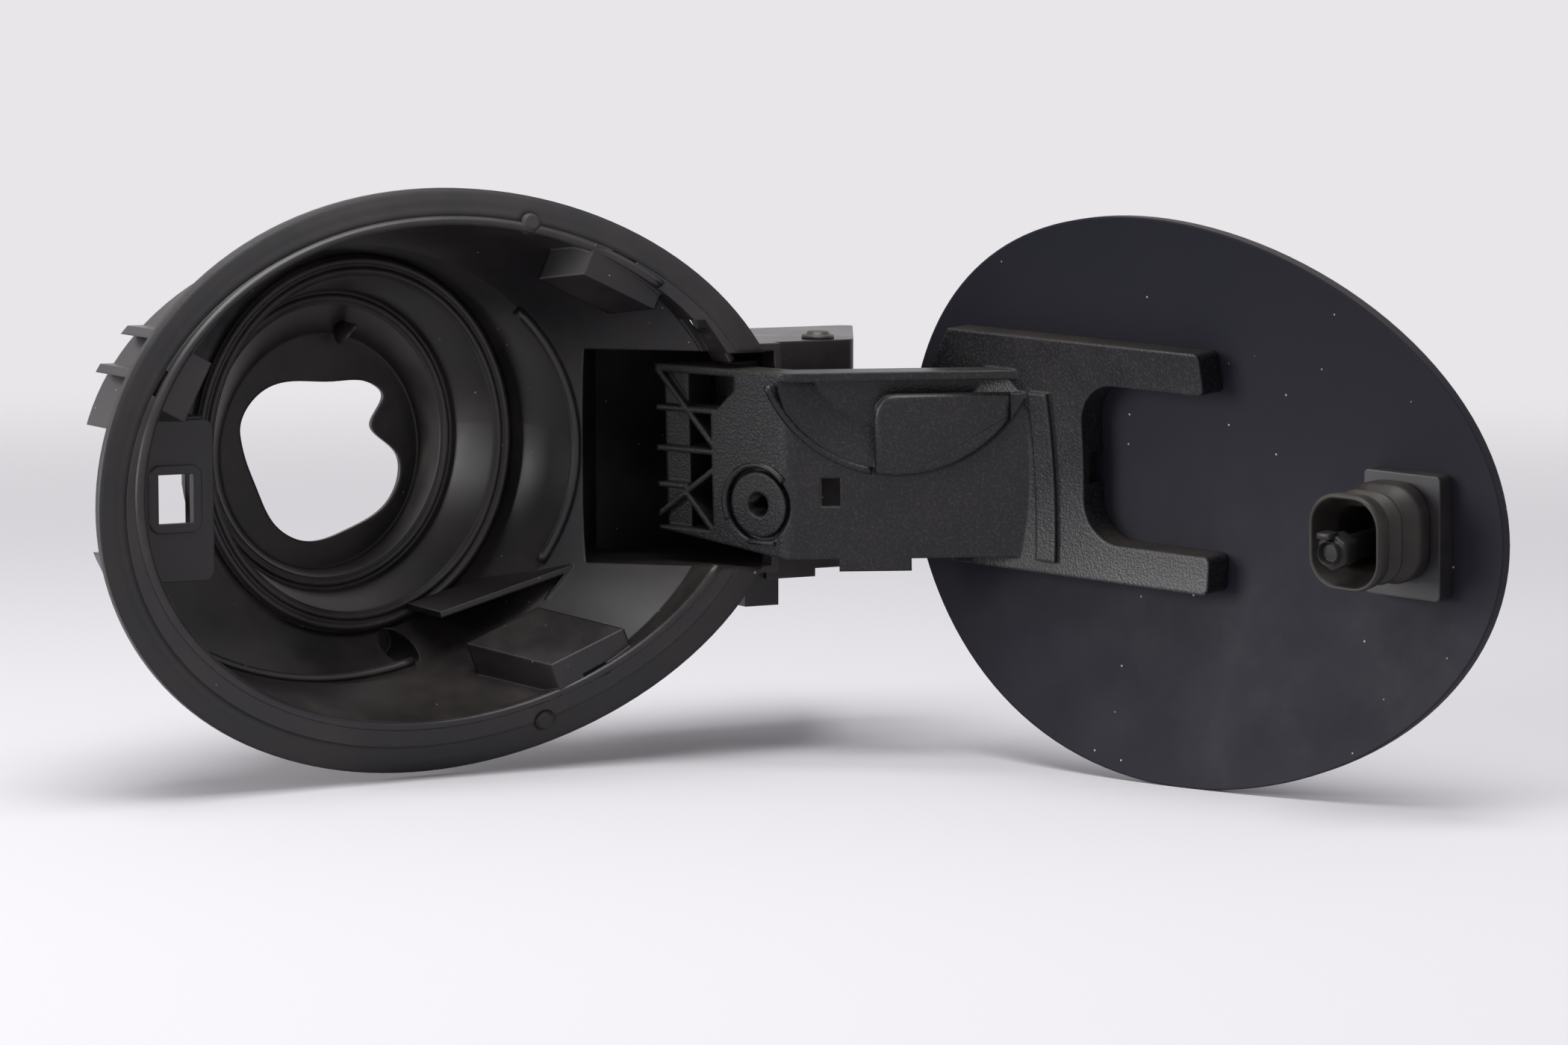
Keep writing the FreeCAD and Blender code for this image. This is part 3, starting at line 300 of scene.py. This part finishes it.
def spun_bead(section, radius, start, sweep, squeeze=1.0):
    """A bead of round section, spun about Z from a start angle through a sweep, in mm and degrees."""
    mesh = bmesh.new()
    bmesh.ops.create_circle(mesh, cap_ends=True, segments=BEAD_SIDES, radius=section)
    bmesh.ops.rotate(mesh, verts=mesh.verts, matrix=Matrix.Rotation(math.pi / 2, 3, "X"))
    bmesh.ops.translate(mesh, verts=mesh.verts, vec=(radius, 0, 0))
    bmesh.ops.rotate(mesh, verts=mesh.verts, matrix=Matrix.Rotation(math.radians(start), 3, "Z"))
    bmesh.ops.spin(mesh, geom=mesh.verts[:] + mesh.edges[:] + mesh.faces[:], axis=(0, 0, 1),
                   angle=math.radians(sweep), steps=max(BEAD_FEWEST_STEPS, round(sweep / BEAD_STEP)))
    bmesh.ops.holes_fill(mesh, edges=[edge for edge in mesh.edges if edge.is_boundary])
    bmesh.ops.scale(mesh, verts=mesh.verts, vec=(1, squeeze, 1))
    return mesh


PANEL_RADIUS = 185.0
PANEL_TURN = 4.2


def lay_on_panel(mesh):
    """Moves what was drawn flat, in X and Y, back onto the curved body panel; depth runs along -Z."""
    turn = math.radians(PANEL_TURN)
    for vert in mesh.verts:
        across = vert.co.y * math.cos(turn) - vert.co.x * math.sin(turn)
        vert.co.z -= PANEL_RADIUS - math.sqrt(PANEL_RADIUS ** 2 - across ** 2)


print("panel radius", PANEL_RADIUS, "mm")

# %% [markdown]
# ## The flange's rolled edge
#
# The flange's inner edge is rolled to a bead that catches a thin bright line all round the mouth. It stops on
# both sides of the gap that the arm swings through, and stands less proud than the shut flap's gap.

# %% Rolled edge
MOUTH = (89.4, 67.2, -0.3, 2.4)
EDGE_SECTION = 1.7
EDGE_SINK = 0.7
EDGE_OUT = 1.3
EDGE_FROM = 41.0
EDGE_SWEEP = 289.0
half_width, half_height, middle_x, middle_z = MOUTH
rolled = spun_bead(EDGE_SECTION, half_width + EDGE_OUT, EDGE_FROM, EDGE_SWEEP,
                   (half_height + EDGE_OUT) / (half_width + EDGE_OUT))
bmesh.ops.rotate(rolled, verts=rolled.verts, matrix=Matrix.Rotation(math.radians(PANEL_TURN), 3, "Z"))
bmesh.ops.translate(rolled, verts=rolled.verts, vec=(middle_x, middle_z, -EDGE_SINK))
lay_on_panel(rolled)
put("flange_rolled_edge", rolled, FRONT_FACE, "housing", pot_plastic)

# %% [markdown]
# ## Ridges on the pot's floor
#
# Where the slanting wall meets the floor, the mould leaves a raised ridge. It shows as a bright arc on the
# right, beside the arm's gap, and as a long low one at the bottom left.

# %% Floor ridges
FLOOR = (73.5, 60.0, -15.2, 3.4, 45.0)
RIDGE_SECTION = 1.5
RIDGE_ARCS = {"floor_ridge_right": (-36.0, 74.0), "floor_ridge_bottom": (-138.0, 62.0)}
half_width, half_height, middle_x, middle_z, depth = FLOOR
for name, (start, sweep) in RIDGE_ARCS.items():
    ridge = spun_bead(RIDGE_SECTION, half_width - RIDGE_SECTION / 2, start, sweep, half_height / half_width)
    bmesh.ops.rotate(ridge, verts=ridge.verts, matrix=Matrix.Rotation(math.radians(PANEL_TURN), 3, "Z"))
    bmesh.ops.translate(ridge, verts=ridge.verts, vec=(middle_x, middle_z, -depth))
    put(name, ridge, FRONT_FACE, "housing", pot_plastic)

# %% [markdown]
# ## The pleat in the boot
#
# Above the worn hole the soft boot has gathered into one upright pleat. A narrow cone, pressed flat, lies with
# its foot in the funnel's wall and its tip towards the front.

# %% Pleat
PLEAT_FOOT = 3.6
PLEAT_TIP = 0.6
PLEAT_LENGTH = 12.0
PLEAT_FLATTEN = 0.5
PLEAT_LEAN = 78.0
PLEAT_MIDDLE = (2.0, 77.5, 38.0)
pleat = bmesh.new()
bmesh.ops.create_cone(pleat, cap_ends=True, segments=24, radius1=PLEAT_FOOT, radius2=PLEAT_TIP, depth=PLEAT_LENGTH)
bmesh.ops.scale(pleat, verts=pleat.verts, vec=(PLEAT_FLATTEN, 1.0, 1.0))
bmesh.ops.rotate(pleat, verts=pleat.verts, matrix=Matrix.Rotation(math.radians(PLEAT_LEAN), 3, "X"))
bmesh.ops.translate(pleat, verts=pleat.verts, vec=PLEAT_MIDDLE)
put("boot_pleat", pleat, AS_DRAWN, "housing", boot_rubber)

# %% [markdown]
# ## The web beside the arm's shoulder
#
# Behind the flange a slanting web closes the room that the fork's upper corner needs when the flap is shut, so
# that no light comes through there. It is a plain bar with soft edges, turned to the corner's slope.

# %% Shoulder web
WEB_SIZE = (15.6, 10.6, 2.0)
WEB_MIDDLE = (82.2, 10.0, 37.2)
WEB_SLOPE = 59.2
WEB_ROUND = 0.4
web = bmesh.new()
bmesh.ops.create_cube(web, size=1.0)
bmesh.ops.scale(web, verts=web.verts, vec=WEB_SIZE)
bmesh.ops.bevel(web, geom=web.edges[:], affect="EDGES", offset=WEB_ROUND, segments=2, profile=0.5, material=-1)
bmesh.ops.rotate(web, verts=web.verts, matrix=Matrix.Rotation(math.radians(WEB_SLOPE), 3, "Y"))
bmesh.ops.translate(web, verts=web.verts, vec=WEB_MIDDLE)
put("shoulder_web", web, AS_DRAWN, "housing", pot_plastic)

# %% [markdown]
# ## The cap rest's lip
#
# The half-moon rest on the slanting face has a rounded lip that holds the cap's edge. It is drawn on its own
# face of the arm, as seen from outside, like the next three pieces.

# %% Rest lip
SLANT = (49.2, 7.4, 39.0)
REST = (36.0, 41.6, 38.4)
LIP_SECTION = 1.1
LIP_OUT = 0.2
LIP_SINK = 0.2
LIP_FROM = 201.0
LIP_SWEEP = 58.0
slant_x, slant_y, slant_angle = SLANT
along, up, radius = REST
lip = spun_bead(LIP_SECTION, radius + LIP_OUT, LIP_FROM, LIP_SWEEP)
bmesh.ops.translate(lip, verts=lip.verts, vec=(-along, up, -LIP_SINK))
put("rest_lip", lip, on_arm(slant_x, slant_y, 0, slant_angle), "flap", arm_plastic)

# %% [markdown]
# ## The cap rest's tab
#
# The right half of the rest is covered by a raised tab with a straight top, a rounded upper corner and the
# rest's own arc below. A disc is cut along three lines, its corner is rounded, and the face is raised and
# bevelled round its rim.

# %% Rest tab
TAB_LEFT = -6.6
TAB_TOP = -16.4
TAB_RIGHT = 31.0
TAB_OUT = 0.6
TAB_CORNER = 6.0
TAB_RISE = 3.4
TAB_SINK = 0.4
TAB_ROUND = 1.4
TAB_CUTS = (((TAB_LEFT, 0, 0), (-1, 0, 0)), ((TAB_RIGHT, 0, 0), (1, 0, 0)), ((0, TAB_TOP, 0), (0, 1, 0)))
tab = bmesh.new()
bmesh.ops.create_circle(tab, cap_ends=True, segments=96, radius=radius + TAB_OUT)
for point, normal in TAB_CUTS:
    whole = tab.verts[:] + tab.edges[:] + tab.faces[:]
    bmesh.ops.bisect_plane(tab, geom=whole, plane_co=point, plane_no=normal, clear_outer=True)
corner = min(tab.verts, key=lambda v: (v.co - Vector((TAB_LEFT, TAB_TOP, 0))).length)
bmesh.ops.bevel(tab, geom=[corner], affect="VERTICES", offset=TAB_CORNER, segments=4, profile=0.5, material=-1)
raised = bmesh.ops.extrude_face_region(tab, geom=tab.faces[:])["geom"]
bmesh.ops.translate(tab, verts=[part for part in raised if isinstance(part, bmesh.types.BMVert)],
                    vec=(0, 0, TAB_RISE))
top_edges = [part for part in raised if isinstance(part, bmesh.types.BMEdge)]
bmesh.ops.bevel(tab, geom=top_edges, affect="EDGES", offset=TAB_ROUND, segments=4, profile=0.5, material=-1)
bmesh.ops.translate(tab, verts=tab.verts, vec=(-along, up, -TAB_SINK))
put("rest_tab", tab, on_arm(slant_x, slant_y, 0, slant_angle), "flap", arm_plastic)

# %% [markdown]
# ## The collar and the bar at the tether boss
#
# The boss for the cap's tether stands on the bow, past the slanting face. It has a collar on its upper left
# side and a short bar below it.

# %% Collar and bar
SLANT_LENGTH = 67.0
BOW_ANGLE = 7.0
BOSS = (10.0, -6.3)
BOSS_RISE = 0.2
COLLAR_SECTION = 0.9
COLLAR_RADIUS = 11.2
COLLAR_FROM = 40.0
COLLAR_SWEEP = 165.0
BAR_SIZE = (9.0, 1.3, 1.6)
BAR_RIGHT = 1.0
BAR_DOWN = 10.6
BAR_ROUND = 0.35
turn = math.radians(slant_angle)
bend_x = slant_x + SLANT_LENGTH * math.cos(turn)
bend_y = slant_y + SLANT_LENGTH * math.sin(turn)
along, up = BOSS
collar = spun_bead(COLLAR_SECTION, COLLAR_RADIUS, COLLAR_FROM, COLLAR_SWEEP)
bmesh.ops.translate(collar, verts=collar.verts, vec=(-along, up, BOSS_RISE))
put("boss_collar", collar, on_arm(bend_x, bend_y, 0, BOW_ANGLE), "flap", arm_plastic)

bar = bmesh.new()
bmesh.ops.create_cube(bar, size=1.0)
bmesh.ops.scale(bar, verts=bar.verts, vec=BAR_SIZE)
bmesh.ops.bevel(bar, geom=bar.edges[:], affect="EDGES", offset=BAR_ROUND, segments=2, profile=0.5, material=-1)
bmesh.ops.translate(bar, verts=bar.verts, vec=(BAR_RIGHT - along, up - BAR_DOWN, BOSS_RISE))
put("boss_bar", bar, on_arm(bend_x, bend_y, 0, BOW_ANGLE), "flap", arm_plastic)

# %% [markdown]
# ## The latch bellows
#
# The rubber bellows are one thin skin: a fat fold on the carrier, two narrow folds and a front ring that stays
# open. A rounded outline is drawn once and then extruded from station to station along the latch axis, each
# time scaled to the fold's size, out to the front ring and back along the inside. A station is a share of the
# length and the mm by which the outline grows there.

# %% Bellows
LATCH = (-69.8, -1.1)
BELLOWS_SIZE = (22.0, 25.0)
BELLOWS_BASE = 4.4
BELLOWS_LENGTH = 22.4
BELLOWS_CORNER = 8.2
STATIONS = [(0.00, 0.2), (0.03, 0.6), (0.20, 0.7), (0.27, 0.3), (0.33, -2.2), (0.38, -3.0), (0.43, -2.4),
            (0.49, -0.5), (0.53, -0.2), (0.57, -0.6), (0.62, -2.4), (0.66, -2.9), (0.70, -2.3), (0.76, -0.5),
            (0.80, -0.2), (0.96, 0.1), (0.99, 0.0), (1.00, -0.4), (1.00, -0.8), (0.98, -1.1), (0.80, -1.5),
            (0.68, -3.9), (0.62, -4.0), (0.30, -4.2), (0.02, -4.2)]
width, height = BELLOWS_SIZE
bellows = bmesh.new()
bmesh.ops.create_grid(bellows, x_segments=1, y_segments=1, size=0.5)
bmesh.ops.scale(bellows, verts=bellows.verts, vec=(width, height, 1))
bmesh.ops.bevel(bellows, geom=bellows.verts[:], affect="VERTICES", offset=BELLOWS_CORNER, segments=10, profile=0.5,
                material=-1)
bmesh.ops.delete(bellows, geom=bellows.faces[:], context="FACES_ONLY")
loop = bellows.edges[:]
first_loop = loop
share_before, grow_before = STATIONS[0]
bmesh.ops.scale(bellows, verts=bellows.verts, vec=(1 + 2 * grow_before / width, 1 + 2 * grow_before / height, 1))
for share, grow in STATIONS[1:]:
    made = bmesh.ops.extrude_edge_only(bellows, edges=loop)["geom"]
    ring = [part for part in made if isinstance(part, bmesh.types.BMVert)]
    members = set(ring)
    loop = [part for part in made if isinstance(part, bmesh.types.BMEdge) and members.issuperset(part.verts)]
    wider = ((width + 2 * grow) / (width + 2 * grow_before), (height + 2 * grow) / (height + 2 * grow_before), 1)
    bmesh.ops.scale(bellows, verts=ring, vec=wider)
    bmesh.ops.translate(bellows, verts=ring, vec=(0, 0, (share - share_before) * BELLOWS_LENGTH))
    share_before, grow_before = share, grow
bmesh.ops.bridge_loops(bellows, edges=first_loop + loop)
latch_x, latch_z = LATCH
piece = put("bellows_skin", bellows, on_arm(latch_x, BELLOWS_BASE, latch_z, 0), "flap",
            bellows_rubber)
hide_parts("latch_boot")

# %% [markdown]
# ## The latch hook
#
# Inside the bellows a round shank carries a six-sided head with a short round socket, and a small tongue at its
# upper side that catches behind the latch window. The head is a six-sided cylinder with bevelled edges, and
# the socket is a round end that is inset and pushed in. The head sits a little below the bellows' middle.

# %% Hook
SHANK_RADIUS = 3.4
HEAD_START = 22.6
HEAD_LENGTH = 6.2
HEAD_RADIUS = 5.0
HEAD_SINK = 1.0
HEAD_DROP = 1.6
HEAD_ROUND = 0.7
SOCKET_SIDES = 40
SOCKET_FOOT = 3.3
SOCKET_RIM = 3.1
SOCKET_LENGTH = 3.6
SOCKET_WALL = 0.9
SOCKET_DEPTH = 1.7
TONGUE_SIZE = (4.2, 1.8, 4.4)
TONGUE_LEFT = 1.0
TONGUE_UP = 4.4
TONGUE_OUT = 0.2
TONGUE_ROUND = 0.5
SHARP_ANGLE = 35.0


def soften(mesh, verts, offset, segments):
    """Bevels the edges between the given vertices."""
    members = set(verts)
    between = [edge for edge in mesh.edges if members.issuperset(edge.verts)]
    bmesh.ops.bevel(mesh, geom=between, affect="EDGES", offset=offset, segments=segments, profile=0.5, material=-1)


hook = bmesh.new()
made = bmesh.ops.create_cone(hook, cap_ends=True, segments=32, radius1=SHANK_RADIUS, radius2=SHANK_RADIUS,
                             depth=HEAD_START)
bmesh.ops.translate(hook, verts=made["verts"], vec=(0, 0, HEAD_START / 2))
tip = HEAD_START - HEAD_SINK + HEAD_LENGTH
made = bmesh.ops.create_cone(hook, cap_ends=True, segments=6, radius1=HEAD_RADIUS, radius2=HEAD_RADIUS,
                             depth=HEAD_LENGTH)
bmesh.ops.translate(hook, verts=made["verts"], vec=(0, 0, tip - HEAD_LENGTH / 2))
soften(hook, made["verts"], HEAD_ROUND, 3)
made = bmesh.ops.create_cone(hook, cap_ends=True, segments=SOCKET_SIDES, radius1=SOCKET_FOOT, radius2=SOCKET_RIM,
                             depth=SOCKET_LENGTH)
bmesh.ops.translate(hook, verts=made["verts"], vec=(0, 0, tip))
round_ends = [face for face in hook.faces if len(face.verts) == SOCKET_SIDES]
end = max(round_ends, key=lambda face: face.calc_center_median().z)
bmesh.ops.inset_region(hook, faces=[end], thickness=SOCKET_WALL)
bmesh.ops.translate(hook, verts=end.verts[:], vec=(0, 0, -SOCKET_DEPTH))
made = bmesh.ops.create_cube(hook, size=1.0)
bmesh.ops.scale(hook, verts=made["verts"], vec=TONGUE_SIZE)
bmesh.ops.translate(hook, verts=made["verts"], vec=(-TONGUE_LEFT, TONGUE_UP, tip + TONGUE_OUT))
soften(hook, made["verts"], TONGUE_ROUND, 2)
piece = put("hook_moulded", hook, on_arm(latch_x, BELLOWS_BASE, latch_z - HEAD_DROP, 0), "flap",
            hook_plastic)
piece.data.set_sharp_from_angle(angle=math.radians(SHARP_ANGLE))
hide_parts("latch_hook")

# %% [markdown]
# ## The hinge pin
#
# The pin's head on top of the hinge pocket is turned in two steps with a low crown. A few corner points of
# half its section, as radius and height, are joined by edges and spun once round the leaning hinge axis.

# %% Hinge pin
PIN_HALF_SECTION = [(0.0, -29.1), (2.0, -29.1), (2.0, 35.3), (4.6, 35.3), (4.6, 36.3), (4.2, 36.6), (3.3, 36.7),
                    (3.1, 37.3), (2.5, 37.6), (0.0, 37.7)]
PIN_STEPS = 48
MERGE_DISTANCE = 0.001
pin = bmesh.new()
corners = [pin.verts.new((from_axis, 0, height)) for from_axis, height in PIN_HALF_SECTION]
outline = [pin.edges.new(pair) for pair in zip(corners, corners[1:])]
bmesh.ops.spin(pin, geom=corners + outline, axis=(0, 0, 1), angle=2 * math.pi, steps=PIN_STEPS, use_merge=True)
bmesh.ops.remove_doubles(pin, verts=pin.verts, dist=MERGE_DISTANCE)
lean = Vector((0, 0, 1)).rotation_difference(Vector(hinge["axis"])).to_matrix().to_4x4()
pin_place = Matrix.Translation(pivot) @ lean @ Matrix.Scale(MM, 4)
piece = put("hinge_pin_turned", pin, pin_place, "housing", pin_coat)
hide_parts("hinge_pin")

# %% [markdown]
# ## The floor
#
# The photograph was taken on a white sweep. The floor is a pale matte sheet that keeps the shadow near the
# object and fades out into the plain background further away.

# %% Floor
FLOOR_HALF = 4.0
FLOOR_X = 0.06
FADE_FROM = 0.35
FADE_TO = 1.5
floor_mesh = bmesh.new()
bmesh.ops.create_grid(floor_mesh, x_segments=1, y_segments=1, size=FLOOR_HALF)
bmesh.ops.translate(floor_mesh, verts=floor_mesh.verts, vec=(FLOOR_X, 0.0, cad_box[0].z))
floor_data = bpy.data.meshes.new("floor")
floor_mesh.to_mesh(floor_data)
floor_mesh.free()
floor = bpy.data.objects.new("floor", floor_data)
bpy.context.scene.collection.objects.link(floor)

sheet, tree, output = new_material("sweep_acrylic_cast_white")
place = add(tree, "ShaderNodeTexCoord").outputs["Object"]
reach = add(tree, "ShaderNodeVectorMath", links={0: place}, operation="LENGTH")
fade = add(tree, "ShaderNodeMapRange", {"From Min": FADE_FROM, "From Max": FADE_TO},
           {"Value": reach.outputs["Value"]}, interpolation_type="SMOOTHSTEP")
white = add(tree, "ShaderNodeBsdfPrincipled", {"Base Color": linear("#d2cfd3"), "Roughness": 0.85, "IOR": 1.4})
clear = add(tree, "ShaderNodeBsdfTransparent")
mixed = add(tree, "ShaderNodeMixShader", links={0: fade.outputs["Result"], 1: white.outputs["BSDF"],
                                               2: clear.outputs["BSDF"]})
tree.links.new(mixed.outputs["Shader"], output.inputs["Surface"])
floor.data.materials.append(sheet)
print("floor at z", round(cad_box[0].z * 1000, 1), "mm")

# %% [markdown]
# ## The background
#
# The world is pale for the camera and in reflections, and dimmer for the light that it gives, so that the
# black stays black.

# %% World
BACKGROUND = "#e9e6ea"
SKY = "#f2f2f6"
SKY_LIGHT = 0.38
world = bpy.data.worlds.new("studio")
bpy.context.scene.world = world
world.use_nodes = True
tree = world.node_tree
tree.nodes.clear()
ray = add(tree, "ShaderNodeLightPath")
direct = add(tree, "ShaderNodeMath", links={0: ray.outputs["Is Camera Ray"], 1: ray.outputs["Is Glossy Ray"]},
             operation="MAXIMUM")
seen = add(tree, "ShaderNodeMath", links={0: direct.outputs["Value"], 1: ray.outputs["Is Transmission Ray"]},
           operation="MAXIMUM")
shown = add(tree, "ShaderNodeBackground", {"Color": linear(BACKGROUND), "Strength": 1.0})
lights_with = add(tree, "ShaderNodeBackground", {"Color": linear(SKY), "Strength": SKY_LIGHT})
choice = add(tree, "ShaderNodeMixShader", links={0: seen.outputs["Value"], 1: lights_with.outputs["Background"],
                                                2: shown.outputs["Background"]})
add(tree, "ShaderNodeOutputWorld", links={"Surface": choice.outputs["Shader"]})
print("background", BACKGROUND)

# %% [markdown]
# ## The lamps
#
# Two soft square lamps do what the photograph shows: one overhead, and one low on the left and a little behind,
# which lights the flange's skirt and the bow of the arm. Each has a place, a target, a size in metres and watts.

# %% Lamps
LAMPS = {
    "overhead": ((-0.1, -0.2, 1.2), (0.05, 0.0, 0.0), 0.9, 17.0),
    "left": ((-1.5, 0.2, 0.26), (0.1, -0.05, 0.0), 0.8, 26.0),
}
for name, (place, target, side, watts) in LAMPS.items():
    lamp = bpy.data.lights.new(name, "AREA")
    lamp.shape = "SQUARE"
    lamp.size = side
    lamp.energy = watts
    holder = bpy.data.objects.new(name, lamp)
    holder.location = place
    holder.rotation_euler = (Vector(target) - Vector(place)).to_track_quat("-Z", "Y").to_euler()
    bpy.context.scene.collection.objects.link(holder)
print("lamps:", list(LAMPS))

# %% [markdown]
# ## View settings
#
# The plain Standard view keeps the colours as they were set.

# %% View settings
bpy.context.scene.view_settings.view_transform = "Standard"
